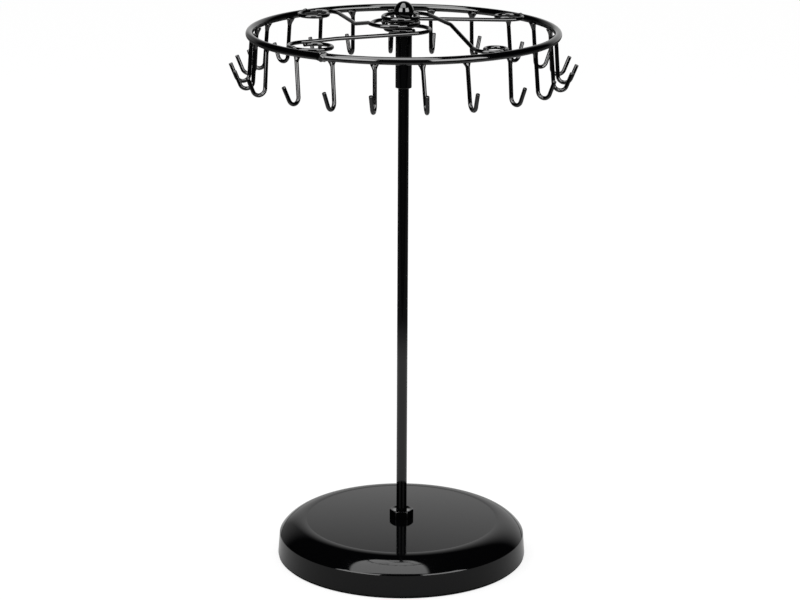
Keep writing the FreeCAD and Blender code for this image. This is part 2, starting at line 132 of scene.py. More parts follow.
class PostSizes(PropertyGroup):
    """Post, nut, sleeve and ball."""
    rod_chamfer: length("Rod chamfer", 0.6, "Chamfer at the ends of the post")
    nut_flats: length("Nut flats", 14.1, "Width of the nut across its flats")
    nut_corner_cut: length("Nut corner cut", 0.9, "How far the nut's top corners are turned off")
    nut_edge: length("Nut edge", 0.4, "Softness of the enamelled edges of the nut")
    sleeve_edge: length("Sleeve edge", 0.35, "Rounding of the sleeve's ends")
    neck_diameter: length("Neck diameter", 7.6, "Neck between the sleeve and the ball")
    neck_fillet: length("Neck fillet", 0.9, "Hollow where the neck runs into the ball")


class RingSizes(PropertyGroup):
    """Ring that carries the hooks."""
    joint_place: turn("Joint place", 240.0, "Where the ring's two ends are butt welded")
    joint_length: length("Joint length", 2.9, "Length of the weld along the ring")
    joint_swell: length("Joint swell", 0.95, "How far the weld stands out of the wire")


class HookSizes(PropertyGroup):
    """Wire hooks under the ring."""
    first_angle: turn("First angle", 13.2, "Place of the first hook round the ring")
    wire: length("Wire", 2.6, "Diameter of the hook wire")
    leg: length("Leg", 24.4, "Straight leg from the ring to the bend")
    bend: length("Bend", 4.3, "Radius of the bend along the wire's centre")
    tip: length("Tip", 9.6, "Straight tip after the bend")
    tip_angle: turn("Tip angle", 26.0, "How far the tip leans outward")
    lean: turn("Lean", 4.0, "How far the leg leans outward")
    inset: length("Inset", 1.4, "How far inside the ring's middle the leg is welded")
    seat: length("Seat", 0.05, "Gap between the ring and the end of the leg")
    end_edge: length("End edge", 0.4, "Rounding of the cut ends")


class ScrollSizes(PropertyGroup):
    """S-shaped wires from the ring to the hub."""
    wire: length("Wire", 2.5, "Diameter of the scroll wire")
    bend: length("Bend", 15.5, "Radius of the wide arc of a hub curl")
    inner_turn: turn("Inner turn", 200.0, "How far the tight arc of each curl runs")
    rim_lift: length("Rim lift", 1.5, "Height of the outer curl above the ring's middle")
    hub_lift: length("Hub lift", 2.2, "Height of the lowest hub curl above the ring's middle")
    seat: length("Seat", 0.05, "Gap between wires that lie on each other")
    slope_bend: length("Slope bend", 16.0, "Radius of the two bends of the slope")
    end_edge: length("End edge", 0.4, "Rounding of the cut ends")


class WeldSizes(PropertyGroup):
    """Enamelled weld metal."""
    reach: length("Reach", 4.4, "How far the metal runs down a hook's leg")
    half_width: length("Half width", 4.2, "Half the width of the metal along the ring")
    half_depth: length("Half depth", 2.1, "Half the width of the metal across the ring")
    inward: length("Inward", 1.1, "How far the metal creeps up the ring's inner side")
    lump: length("Lump", 1.3, "Height of the lumps on the metal")
    scroll_bead: length("Scroll bead", 1.5, "Radius of the beads on the scrolls")


class FinishSettings(PropertyGroup):
    """Colours and gloss of the finishes."""
    enamel: colour("Enamel", 0.0010, 0.0010, 0.0012, "Black enamel on all visible metal")
    foam: colour("Foam", 0.0015, 0.0015, 0.0015, "Foam pad")
    iron: colour("Iron", 0.002, 0.002, 0.002, "Black paint on the iron weight")
    zinc: colour("Zinc", 0.58, 0.59, 0.61, "Zinc plating of the hidden nut and washer")
    foot_roughness: share("Foot roughness", 0.06, "Roughness of the enamel on the foot")
    wire_roughness: share("Wire roughness", 0.06, "Roughness of the enamel on the wires")


class StageSettings(PropertyGroup):
    """Camera and studio."""
    camera_distance: length("Camera distance", 1638.0, "Level distance from the post")
    camera_height: length("Camera height", 640.1, "Height of the lens above the floor")
    camera_tilt: turn("Camera tilt", 15.836, "How far the camera looks down")
    camera_roll: turn("Camera roll", 0.264, "Turn of the camera about its line of sight")
    camera_turn: turn("Camera turn", 0.057, "How far the camera looks to the left of the post")
    lens: FloatProperty(name="Lens", description="Focal length for a 36 mm wide sensor",
                        default=117.7, unit="CAMERA")
    overhead: share("Overhead", 6.5, "Brightness of the overhead panel in reflections")
    windows: share("Windows", 10.0, "Brightness of the two side panels in reflections")
    floor: share("Floor", 0.75, "Brightness of the floor in reflections")
    # radius of the painted pool of light that reflections see on the floor
    pool: length("Lit floor", 400.0, "Radius of the lit floor round the stand")
    backdrop: share("Backdrop", 0.95, "Brightness of the backdrop in reflections")


def settings(kind):
    """The property group of that kind in this scene."""
    return getattr(bpy.context.scene, "stand_" + kind)


# -------- surfaces

def skin(points, closed=False):
    """Vertices and faces of a tube-like grid of points: rows along, columns around.

    A closed one joins its last row to its first.  Otherwise each end is closed by a
    fan to the middle of its row.
    """
    rows, columns = points.shape[:2]
    along = np.arange(rows if closed else rows - 1)[:, None]
    around = np.arange(columns)
    after = (around + 1) % columns
    above = (along + 1) % rows
    quads = np.stack([along * columns + around, along * columns + after,
                      above * columns + after, above * columns + around], axis=-1)
    vertices = points.reshape(-1, 3)
    faces = quads.reshape(-1, 4).tolist()
    if closed:
        return vertices, faces
    last = (rows - 1) * columns
    middles = np.stack([points[0].mean(axis=0), points[-1].mean(axis=0)])
    first_middle, last_middle = np.full((2, columns), len(vertices)) + [[0], [1]]
    first_fan = np.stack([first_middle, after, around], axis=-1)
    last_fan = np.stack([last_middle, last + around, last + after], axis=-1)
    return np.concatenate([vertices, middles]), faces + first_fan.tolist() + last_fan.tolist()


def together(parts):
    """One list of vertices and one of faces from several skins."""
    vertices, faces, offset = [], [], 0
    for part_vertices, part_faces in parts:
        vertices.append(part_vertices)
        faces += [[index + offset for index in face] for face in part_faces]
        offset += len(part_vertices)
    return np.concatenate(vertices), faces


def angles_round(count):
    """Evenly spread angles that go once round."""
    return np.arange(count) * FULL_TURN / count


def round_post(radii, heights, angles):
    """Grid of points at distances from the post, heights and angles round it."""
    rows = np.broadcast_arrays(radii * np.cos(angles), radii * np.sin(angles), heights)
    return np.stack(rows, axis=-1)


def turned(profile, segments, closed=False):
    """Surface of an outline of (radius, height) rows that goes once round the post."""
    return skin(round_post(profile[:, :1], profile[:, 1:], angles_round(segments)), closed)


def arc(middle, radius, start, stop, count):
    """Points on a circle in a plane, from one angle to another."""
    angles = np.linspace(start, stop, count)[:, None]
    return np.asarray(middle) + radius * np.hstack([np.cos(angles), np.sin(angles)])


def softened(corners, steps=6):
    """Outline through corners of (x, y, rounding), each rounded by an arc that fits.

    The arc is a rational curve on the two tangent points and the corner, and a corner
    without rounding stays as it is.  The corners may be arrays over a leading axis.
    """
    corners = np.asarray(corners, float)
    places = corners[..., :2]
    count = corners.shape[-2]
    along = np.linspace(0, 1, steps)[:, None]
    rows = []
    for index in range(count):
        here = places[..., index, :]
        rounding = corners[..., index, 2].max()
        if rounding <= 0:
            rows.append(here[..., None, :])
            continue
        ways = [places[..., other % count, :] - here for other in (index - 1, index + 1)]
        reaches = [np.linalg.norm(way, axis=-1, keepdims=True) for way in ways]
        before, after = (way / reach for way, reach in zip(ways, reaches))
        cosine = (before * after).sum(axis=-1, keepdims=True)
        half = np.arccos(np.clip(cosine, -1, 1)) / 2
        # neighbours share an edge, so each of them takes less than half of it
        room = 0.48 * np.minimum(*reaches)
        tangent = np.minimum(rounding / np.tan(half), room)
        weights = ((1 - along) ** 2, 2 * np.sin(half)[..., None, :] * along * (1 - along),
                   along ** 2)
        points = (here + before * tangent, here, here + after * tangent)
        curve = sum(weight * point[..., None, :] for weight, point in zip(weights, points))
        rows.append(curve / sum(weights))
    return np.concatenate(rows, axis=-2)


def tube(path, radius, normal, end_edge, sides=24):
    """Round wire along a path, with softly rounded cut ends.

    The section is laid out from a fixed normal's projection and its cross product with
    the path, so it never twists.
    """
    normal = np.asarray(normal, float)
    forward = np.gradient(path, axis=0)
    forward /= np.linalg.norm(forward, axis=1, keepdims=True)
    side = normal - (forward @ normal)[:, None] * forward
    side /= np.linalg.norm(side, axis=1, keepdims=True)
    other = np.cross(forward, side)
    # each end is a small row inside its flat, then a quarter circle round its edge
    angles = np.linspace(0, math.pi / 2, 5)[:-1]
    flat = radius - end_edge
    rise = np.append(0.0, end_edge * (1 - np.cos(angles)))
    taper = np.append(0.35 * flat, flat + end_edge * np.sin(angles))
    start = path[0] + forward[0] * rise[:, None]
    finish = path[-1] - forward[-1] * rise[::-1, None]
    middle = np.concatenate([start, path[1:-1], finish])
    radii = np.concatenate([taper, np.full(len(path) - 2, radius), taper[::-1]])

    def held(rows):
        """Rows of which the first and last also serve all rows of the rounded ends."""
        first, last = (np.repeat(row[None], len(rise), 0) for row in (rows[0], rows[-1]))
        return np.concatenate([first, rows[1:-1], last])

    angles = angles_round(sides)[:, None]
    ring = held(side)[:, None] * np.cos(angles) + held(other)[:, None] * np.sin(angles)
    return skin(middle[:, None] + ring * radii[:, None, None])


def turn_about(axis, angle):
    """Rotation matrix about a coordinate axis."""
    return np.array(Matrix.Rotation(angle, 3, axis))


def frame_radius(node):
    """Greatest radius of a round CAD node about the post."""
    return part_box(node)[1].x


def added(name, data):
    """Object of a mesh, a lamp or a camera in this scene."""
    thing = bpy.data.objects.new(name, data)
    bpy.context.scene.collection.objects.link(thing)
    return thing


def piece(name, surface, body, node, finish="wire_enamel"):
    """Object of a surface, with its finish, that rides on a body and stands for a CAD node."""
    vertices, faces = surface
    if not np.isfinite(vertices).all():
        raise ValueError(f"{name} has points without a place")
    mesh = bpy.data.meshes.new(name)
    mesh.from_pydata(vertices.tolist(), [], faces)
    mesh.polygons.foreach_set("use_smooth", np.ones(len(faces), bool))
    mesh.materials.append(finish_named(finish))
    mesh.update()
    thing = added(name, mesh)
    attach(thing, body)
    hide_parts(node)


# -------- finishes

# Each enamel's roughness setting, index of refraction, cells of its orange peel per
# metre, and the depth of the peel.
ENAMELS = {
    "foot_enamel": ("foot_roughness", 1.30, 90.0, 0.012 * MM),
    "wire_enamel": ("wire_roughness", 1.50, 200.0, 0.005 * MM),
    "weld_enamel": ("wire_roughness", 1.50, 900.0, 0.09 * MM),
}


class Nodes:
    """The node tree of a material or a world, built up node by node."""

    def __init__(self, owner):
        owner.use_nodes = True
        self.tree = owner.node_tree
        self.tree.nodes.clear()

    def node(self, kind, inputs=None, **options):
        """New node; options are its attributes, inputs are constants or other outputs."""
        node = self.tree.nodes.new("ShaderNode" + kind)
        for name, value in options.items():
            setattr(node, name, value)
        for name, value in (inputs or {}).items():
            if isinstance(value, bpy.types.NodeSocket):
                self.tree.links.new(value, node.inputs[name])
            else:
                node.inputs[name].default_value = value
        return node

    def add(self, kind, inputs=None, output=0, **options):
        """One output of a new node, the first unless another is named."""
        return self.node(kind, inputs, **options).outputs[output]

    def math(self, operation, first, second):
        """Result of an operation on two values."""
        return self.add("Math", {0: first, 1: second}, operation=operation)

    def soft_step(self, value, low, high, top=1.0):
        """Value that climbs softly from 0 to the top as another goes from low to high."""
        inputs = {"Value": value, "From Min": low, "From Max": high, "To Max": top}
        return self.add("MapRange", inputs, interpolation_type="SMOOTHSTEP")

    def blend(self, share, first, second):
        """Shader that goes from the first to the second as the share goes from 0 to 1."""
        return self.add("MixShader", {0: share, 1: first, 2: second})


class Finish(Nodes):
    """A material whose patterns lie in the object's own coordinates, in cells per metre."""

    def __init__(self, name, **constants):
        self.material = bpy.data.materials.new(name)
        super().__init__(self.material)
        self.shader = self.node("BsdfPrincipled", constants)
        self.node("OutputMaterial", {"Surface": self.shader.outputs["BSDF"]})
        self.place = self.add("TexCoord", output="Object")

    def feed(self, name, source):
        """Let an output drive one of the surface's values."""
        self.tree.links.new(source, self.shader.inputs[name])

    def noise(self, scale, detail=2.0):
        """Cloudy pattern."""
        return self.add("TexNoise", {"Vector": self.place, "Scale": scale, "Detail": detail})

    def cells(self, scale):
        """Pattern of rounded cells."""
        return self.add("TexVoronoi", {"Vector": self.place, "Scale": scale})

    def tint(self, source, name, low, high):
        """A set colour times a factor, which goes from low to high by a pattern."""
        base = np.array(getattr(settings("finish"), name), float)
        inputs = {"Factor": source, "A": (*(base * low), 1), "B": (*(base * high), 1)}
        self.feed("Base Color", self.add("Mix", inputs, "Result", data_type="RGBA"))

    def gloss(self, source, start, smooth, rough):
        """Roughness that goes from smooth to rough as a pattern goes from start to 0.7."""
        self.feed("Roughness", self.add("MapRange", {
            "Value": source, "From Min": start, "From Max": 0.7, "To Min": smooth, "To Max": rough,
        }))

    def bump(self, source, depth, before=None):
        """Relief of a given depth in metres, over an earlier one."""
        inputs = {"Height": source, "Distance": depth, "Strength": 1.0}
        if before is not None:
            inputs["Normal"] = before
        relief = self.add("Bump", inputs)
        self.feed("Normal", relief)
        return relief


def enamel(name):
    """Stoved black enamel: faint orange peel, a trace of dust and uneven gloss."""
    setting, ior, peel_scale, peel_depth = ENAMELS[name]
    roughness = getattr(settings("finish"), setting)
    finish = Finish(name, IOR=ior)
    finish.tint(finish.noise(38.0, detail=3.0), "enamel", 1.0, 1.5)
    finish.gloss(finish.noise(140.0, detail=4.0), 0.35, roughness * 0.8, roughness * 1.3)
    peel = finish.bump(finish.noise(peel_scale, detail=1.0), peel_depth)
    finish.bump(finish.noise(peel_scale * 5, detail=2.0), peel_depth / 12, before=peel)
    return finish.material


def foam(name):
    """Closed-cell foam: matt, finely pitted, greyer where it is rubbed."""
    finish = Finish(name, Roughness=0.92, IOR=1.05)
    finish.tint(finish.noise(260.0, detail=4.0), "foam", 1.0, 1.8)
    finish.bump(finish.cells(1500.0), 0.12 * MM)
    return finish.material


def painted_iron(name):
    """Cast iron disc in thin black paint: a sandy skin with duller patches."""
    finish = Finish(name, IOR=1.15)
    patches = finish.noise(60.0, detail=4.0)
    finish.tint(patches, "iron", 0.6, 1.4)
    finish.gloss(patches, 0.3, 0.35, 0.6)
    finish.bump(finish.noise(900.0, detail=3.0), 0.03 * MM)
    return finish.material


def zinc_plate(name):
    """Bright zinc plating: cool grey with a faint spangle."""
    finish = Finish(name, Metallic=1.0)
    finish.tint(finish.cells(700.0), "zinc", 0.85, 1.0)
    finish.gloss(finish.noise(400.0), 0.3, 0.22, 0.38)
    return finish.material


def finish_named(name):
    """A finish that is made when it is first asked for."""
    makers = {"black_foam": foam, "iron_paint": painted_iron, "bright_zinc": zinc_plate}
    return bpy.data.materials.get(name) or makers.get(name, enamel)(name)


# -------- foot

def meeting(first, first_reach, second, second_reach, outward):
    """Point at given distances from two others; of the two, the one further outward."""
    first, second = np.asarray(first, float), np.asarray(second, float)
    apart = second - first
    distance = np.linalg.norm(apart)
    along = (distance ** 2 + first_reach ** 2 - second_reach ** 2) / (2 * distance)
    off = math.sqrt(max(first_reach ** 2 - along ** 2, 0.0))
    across = np.array([-apart[1], apart[0]]) / distance
    choices = [first + apart / distance * along + across * off * sign for sign in (-1, 1)]
    return max(choices, key=lambda point: float(point @ outward))


def bearing(middle, point):
    """Angle at which a point lies from a middle."""
    return math.atan2(point[1] - middle[1], point[0] - middle[0])


def cover_outline(foot, radius, bottom, top, inward):
    """Outline of the cover from its bottom edge up and in to the hole, moved inward.

    A leaning wall, a small edge, the shoulder's arc, a wide edge and the crown's arc
    run into one another.  Moving it inward by the sheet gives the inner side.
    """
    wall_top = np.array([radius - foot.wall_lean, foot.wall_height])
    wall_foot = np.array([radius, bottom])
    crown_end = np.array([wall_top[0] - foot.shoulder_width, top - foot.crown_rise])
    crown_radius = (crown_end[0] ** 2 + foot.crown_rise ** 2) / (2 * foot.crown_rise)
    crown_middle = np.array([0.0, top - crown_radius])
    shoulder_middle = meeting(crown_end, foot.shoulder_radius, wall_top, foot.shoulder_radius,
                              np.array([-1.0, -1.0]))
    # the wide edge touches both arcs from within
    wide_middle = meeting(crown_middle, crown_radius - foot.crown_edge,
                          shoulder_middle, foot.shoulder_radius - foot.crown_edge,
                          np.array([0.0, 1.0]))
    # the small edge touches the shoulder from within and the wall
    wall_way = (wall_top - wall_foot) / np.linalg.norm(wall_top - wall_foot)
    wall_out = np.array([wall_way[1], -wall_way[0]])
    held = wall_foot - wall_out * foot.wall_edge
    to_middle = shoulder_middle - held
    along = float(to_middle @ wall_way)
    off = float(to_middle @ wall_out)
    climb = along + math.sqrt((foot.shoulder_radius - foot.wall_edge) ** 2 - off ** 2)
    small_middle = held + wall_way * climb

    hole = frame_radius("post_rod") + FREE_HOLE
    crown_touch = bearing(crown_middle, wide_middle)
    shoulder_from = bearing(shoulder_middle, small_middle)
    shoulder_to = bearing(shoulder_middle, wide_middle)
    wall_angle = math.atan2(wall_out[1], wall_out[0])
    hole_angle = math.acos(hole / crown_radius)
    wall_rows = np.linspace(wall_foot, small_middle + wall_out * foot.wall_edge, 12)[:-1]
    wall_rows = wall_rows - wall_out * inward
    return np.concatenate([
        wall_rows,
        arc(small_middle, foot.wall_edge - inward, wall_angle, shoulder_from, count=12)[:-1],
        arc(shoulder_middle, foot.shoulder_radius - inward, shoulder_from, shoulder_to,
            count=30)[:-1],
        arc(wide_middle, foot.crown_edge - inward, shoulder_to, crown_touch, count=12)[:-1],
        arc(crown_middle, crown_radius - inward, crown_touch, hole_angle, count=40),
    ])


def foot_cover():
    """Closed pressed shell: outer outline, rounded cut edge, inner outline, hole."""
    foot = settings("foot")
    low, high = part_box("base_shell")
    outer = cover_outline(foot, high.x, low.z, high.z, 0.0)
    inner = cover_outline(foot, high.x, low.z, high.z, foot.sheet)
    edge = foot.rim_edge
    lip = softened([[*inner[1], 0.0], [*inner[0], edge], [*outer[0], edge], [*outer[1], 0.0]])
    outline = np.concatenate([lip[1:-1], outer[1:], inner[:0:-1]])
    return turned(outline, segments=288, closed=True)


def foot_pad():
    """Foam disc with soft edges."""
    foot = settings("foot")
    low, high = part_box("base_pad")
    outline = softened([
        [1 * MM, low.z, 0.0], [high.x, low.z, foot.pad_edge],
        [high.x, high.z, foot.pad_edge], [1 * MM, high.z, 0.0],
    ])
    return turned(outline, segments=192)


# -------- post

def post_rod():
    """Straight round bar with a chamfer at each end."""
    post = settings("post")
    low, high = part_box("post_rod")
    inner = high.x - post.rod_chamfer
    edge = post.rod_chamfer / 3
    outline = softened([
        [inner / 4, low.z, 0.0], [inner, low.z, edge], [high.x, low.z + post.rod_chamfer, edge],
        [high.x, high.z - post.rod_chamfer, edge], [inner, high.z, edge], [inner / 4, high.z, 0.0],
    ])
    return turned(outline, segments=64)


def hexagon_nut():
    """Hexagon whose outline at each angle is its flat's distance over a cosine.

    The corners are blunted, a cone takes off the top, and every edge is softened.
    """
    post = settings("post")
    low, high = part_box("base_nut")
    angles = angles_round(288)
    # two corners lie on the X axis, so a flat faces the front
    from_flat = angles % (math.pi / 3) - math.pi / 6
    flat = post.nut_flats / 2
    corner = flat / math.cos(math.pi / 6)
    blunting, cone_slope = 0.25 * MM, 0.5
    # how far the top edge is set in and down, so that it has room to be rounded
    inset, dip = 0.05 * MM, 0.03 * MM
    reach = np.minimum(flat / np.cos(from_flat), corner - blunting)
    cone_start = corner - post.nut_corner_cut
    drop = np.maximum(reach - cone_start, 0) * cone_slope
    bore = frame_radius("post_rod") + NUT_BORE
    rows = (
        (bore, low.z, 0.0),
        (reach, low.z, post.nut_edge * 0.6),
        (reach, high.z - drop - dip, post.nut_edge),
        (np.minimum(reach, cone_start) - inset, high.z, post.nut_edge),
        (bore, high.z, 0.0),
    )
    corners = np.array([[np.broadcast_to(value, angles.shape) for value in row] for row in rows])
    outline = softened(corners.transpose(2, 0, 1))
    points = round_post(outline[..., 0], outline[..., 1], angles[:, None])
    return skin(points.transpose(1, 0, 2), closed=True)


def hub_sleeve():
    """Tube with rounded ends that slips over the post."""
    post = settings("post")
    low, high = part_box("hub_sleeve")
    bore = frame_radius("post_rod") + FREE_HOLE
    edge = post.sleeve_edge
    outline = softened([
        [bore, low.z, edge], [high.x, low.z, edge], [high.x, high.z, edge], [bore, high.z, edge],
    ])
    return turned(outline, segments=72, closed=True)


def ball_finial():
    """Ball whose arc runs through a small hollow into its neck, and a hidden spigot."""
    post = settings("post")
    low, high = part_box("ball_finial")
    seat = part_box("hub_sleeve")[1].z
    ball = high.x
    middle = high.z - ball
    neck = post.neck_diameter / 2
    spigot = frame_radius("post_rod") + SPIGOT
    fillet = post.neck_fillet
    # the hollow's middle is a fillet outside both the neck and the ball
    hollow_x = neck + fillet
    hollow_z = middle - math.sqrt((ball + fillet) ** 2 - hollow_x ** 2)
    touch = math.atan2(hollow_z - middle, hollow_x)
    spigot_edge, neck_edge, straight = 0.2 * MM, 0.15 * MM, 0.4 * MM
    stem = softened([
        [spigot / 4, low.z, 0.0], [spigot, low.z, spigot_edge], [spigot, seat, 0.0],
        [neck, seat, neck_edge], [neck, seat + straight, 0.0],
    ])[:-1]
    hollow = arc((hollow_x, hollow_z), fillet, math.pi, touch + math.pi, count=8)
    hollow = hollow[hollow[:, 1] > seat + straight / 2]
    # a fan closes the top, so the arc stops just short of it
    globe = arc((0.0, middle), ball, touch, math.pi / 2 - 0.02, count=56)
    return turned(np.concatenate([stem, hollow, globe[1:]]), segments=96)


# -------- ring

def ring_frame():
    """The ring's middle radius, wire radius and level, from the frame."""
    low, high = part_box("ring")
    wire = (high.z - low.z) / 2
    return high.x - wire, wire, (high.z + low.z) / 2


def ring_wire():
    """Torus whose wire swells, lumpily, where its two ends are welded together."""
    ring = settings("ring")
    radius, wire, level = ring_frame()
    around = angles_round(900)[:, None]
    section = angles_round(36)
    distance = ((around - ring.joint_place + math.pi) % FULL_TURN - math.pi) * radius
    bulge = np.exp(-(distance / ring.joint_length) ** 4)
    # lumps: whole waves round the wire that drift as they run along it
    rough = (0.55 + 0.3 * np.sin(3 * section + 900 * distance)
             + 0.25 * np.sin(5 * section - 2100 * distance))
    thick = wire + ring.joint_swell * bulge * rough
    points = round_post(radius + thick * np.cos(section), level + thick * np.sin(section), around)
    return skin(points[:, ::-1], closed=True)


# -------- hooks

def hook_place(index):
    """Angle round the ring, seat and turning of a hook: leg down, tip pointing outward."""
    hook = settings("hook")
    radius, wire, level = ring_frame()
    angle = hook.first_angle + index * FULL_TURN / len(HOOK_DRIFT) + math.radians(HOOK_DRIFT[index])
    turning = (turn_about("Z", angle) @ turn_about("Y", -hook.lean)
               @ turn_about("X", math.radians(HOOK_SWAY[index])) @ turn_about("X", math.pi))
    seat = turn_about("Z", angle) @ np.array([radius - hook.inset, 0.0, 0.0])
    seat[2] = level - wire - hook.seat
    return angle, seat, turning


def hook_wire(index):
    """Straight leg, an arc past the half turn less the tip's slant, and a straight tip."""
    hook = settings("hook")
    _, seat, turning = hook_place(index)
    leg = np.linspace([0.0, 0.0], [0.0, hook.leg], 30)[:-1]
    bend = arc((hook.bend, hook.leg), hook.bend, math.pi, hook.tip_angle, count=36)
    way = np.array([math.sin(hook.tip_angle), -math.cos(hook.tip_angle)])
    tip = bend[-1] + way * np.linspace(0, hook.tip, 12)[1:, None]
    flat = np.concatenate([leg, bend, tip])
    path = np.insert(flat, 1, 0.0, axis=1) @ turning.T + seat
    return tube(path, hook.wire / 2, turning[:, 1], hook.end_edge)


# -------- scrolls

def scroll_plan(index):
    """Distance of the outer curl from the post, half the straight, the outer curl's share."""
    scroll = settings("scroll")
    radius, wire, _ = ring_frame()
    outer = SCROLLS[index][2]
    touching = wire + scroll.wire / 2 + scroll.seat
    reach = radius - math.sqrt(touching ** 2 - scroll.rim_lift ** 2) - scroll.bend * outer
    half = math.sqrt(reach ** 2 - (scroll.bend * (1 + outer)) ** 2) / 2
    return reach, half, outer


def scroll_turn(index):
    """Direction of a scroll's straight, from the ring to the hub."""
    azimuth, swing = (math.radians(value) for value in SCROLLS[index][:2])
    _, half, outer = scroll_plan(index)
    return azimuth + math.pi + swing - math.atan2(settings("scroll").bend * (1 + outer), 2 * half)


def scroll_level(index):
    """Level of a scroll's hub curl: each one lies on the one before."""
    scroll = settings("scroll")
    return ring_frame()[2] + scroll.hub_lift + index * (scroll.wire + scroll.seat)


def curl_flat(half, size_share):
    """One curl in plan, from the straight's end inward: a half turn, then a tighter arc."""
    scroll = settings("scroll")
    wide = scroll.bend * size_share
    beside = frame_radius("hub_sleeve") + scroll.wire / 2 + scroll.seat
    tight = (scroll.bend + beside) / 2 * size_share
    first = arc((-half, -wide), wide, math.pi / 2, 3 * math.pi / 2, count=70)
    inner = arc((-half, tight - 2 * wide), tight, 3 * math.pi / 2,
                3 * math.pi / 2 + scroll.inner_turn, count=60)
    return np.concatenate([first, inner[1:]])


def slope_rows(index, rise):
    """The straight in side view: level, a bend up, a slope, a bend back and level."""
    _, half, _ = scroll_plan(index)
    bend = settings("scroll").slope_bend
    begins, ends = SCROLLS[index][3:]
    run = 2 * half * (ends - begins)
    start = half * (2 * begins - 1)
    reach = math.hypot(2 * bend - rise, run)
    climb = math.atan2(run, 2 * bend - rise) - math.acos(2 * bend / reach)
    down = -math.pi / 2
    low = arc((start, bend), bend, down, down + climb, count=14)
    high = arc((start + run, rise - bend), bend, climb - down, -down, count=14)
    rows = [np.linspace([-half, 0.0], low[0], 12)[:-1], low,
            np.linspace(low[-1], high[0], 24)[1:-1], high,
            np.linspace(high[-1], [half, rise], 12)[1:]]
    return np.concatenate(rows)


def scroll_wire(index):
    """Outer curl, sloping straight and hub curl, laid between the ring and the sleeve."""
    scroll = settings("scroll")
    reach, half, outer = scroll_plan(index)
    start = ring_frame()[2] + scroll.rim_lift
    rise = scroll_level(index) - start
    rim = np.insert(curl_flat(half, outer)[::-1], 2, 0.0, axis=1)
    hub = np.insert(-curl_flat(half, 1.0), 2, rise, axis=1)
    straight = np.insert(slope_rows(index, rise), 1, 0.0, axis=1)
    path = np.concatenate([rim[:-1], straight, hub[1:]])
    turning = turn_about("Z", scroll_turn(index))
    azimuth = math.radians(SCROLLS[index][0])
    middle = (turn_about("Z", azimuth) @ np.array([reach, 0.0, start])
              + turning @ np.array([half, scroll.bend * outer, 0.0]))
    return tube(path @ turning.T + middle, scroll.wire / 2, (0.0, 0.0, 1.0), scroll.end_edge)


# -------- welds

def lumps(seed, along, around, height):
    """Smooth bumps over a grid: four waves, finer ones lower, with seeded phases."""
    chance = np.random.default_rng(seed)
    total = np.zeros(np.broadcast(along, around).shape)
    for waves in (1, 2, 3, 5):
        phase, shift = chance.uniform(0, FULL_TURN, 2)
        total = total + np.sin(waves * around + phase) * np.sin(waves * 3.1 * along + shift) / waves
    return height * total


def hook_weld(index):
    """Web of metal from the leg up to the ring: an ellipse that widens towards the ring.

    Its middle line creeps inward up the ring's lower side and leans a little sideways.
    """
    weld, hook = settings("weld"), settings("hook")
    angle, seat, turning = hook_place(index)
    along = np.linspace(0, 1, 26)[:, None]
    around = angles_round(36)
    chance = np.random.default_rng(WEB_SEED + index)
    lean = chance.uniform(-0.9, 0.9)
    reach = weld.reach * chance.uniform(0.8, 1.1)
    # it starts a little inside the leg, closes above this share of its length down to
    # this share of its width, and climbs this far past the leg's end into the ring
    start = hook.wire / 2 * 0.96
    closes, last_width, overrun = 0.78, 0.02, 1.9 * MM
    swell = along ** 1.6
    width = start + (weld.half_width * chance.uniform(0.8, 1.1) - start) * swell
    depth = start + (weld.half_depth - start) * swell
    closed_share = np.clip((along - closes) / (1 - closes), 0, 1)
    closing = np.sqrt(np.clip(1 - closed_share ** 2, 0, 1)) * (1 - last_width) + last_width
    rough = lumps(index, along, around, weld.lump) * swell * 0.35
    outward, sideways = turn_about("Z", angle).T[:2]
    climb = along * (reach + overrun)
    axis = seat + turning[:, 2] * (reach - climb)[..., None]
    axis = axis - outward * (weld.inward * along ** 2)[..., None]
    axis = axis + sideways * (lean * weld.lump * along)[..., None]
    points = (axis + sideways * ((width + rough) * closing * np.sin(around))[..., None]
              - outward * ((depth + rough * 0.5) * closing * np.cos(around))[..., None])
    return skin(points)


def bead(seed, place, along_way, up_way, radius, stretch):
    """Lumpy round bead: a sphere stretched one way with seeded bumps."""
    # the rows stop short of the poles, which fans close
    polar = np.linspace(0.05, math.pi - 0.05, 16)[:, None]
    around = angles_round(24)
    side_way = np.cross(along_way, up_way)
    size = radius + lumps(seed, polar, around, radius * 0.12)
    return skin(place + along_way * (-size * stretch * np.cos(polar))[..., None]
                + side_way * (size * np.sin(polar) * np.cos(around))[..., None]
                - up_way * (size * np.sin(polar) * np.sin(around))[..., None])


def scroll_welds():
    """Beads on the four outer curls at the ring, and under the two lower hub curls."""
    weld, scroll = settings("weld"), settings("scroll")
    radius, wire, level = ring_frame()
    up = np.array([0.0, 0.0, 1.0])
    large, small = weld.scroll_bead, weld.scroll_bead * 0.8
    beads = []
    for index, (azimuth, *_) in enumerate(SCROLLS):
        turning = turn_about("Z", math.radians(azimuth))
        place = turning @ np.array([radius - wire, 0.0, 0.0])
        place[2] = level + scroll.rim_lift + scroll.wire * 0.3
        beads.append(bead(RIM_SEED + index, place, turning[:, 1], up, small, stretch=1.7))
    for index in range(2):
        turning = turn_about("Z", scroll_turn(index) - math.pi / 2)
        place = turning @ np.array([frame_radius("hub_sleeve"), 0.0, 0.0])
        place[2] = scroll_level(index) - scroll.wire / 2
        beads.append(bead(HUB_SEED + index, place, turning[:, 1], up, large, stretch=1.4))
    return together(beads)


# -------- studio

# Each lit patch of the backdrop: azimuth clockwise from the back, elevation, and angles
# from its middle where its fade starts and ends, in degrees, then its share of light.
BACKDROP = ((12, 4, 12, 42, 1.0), (-20, 2, 10, 34, 0.35), (180, 0, 10, 60, 0.05))
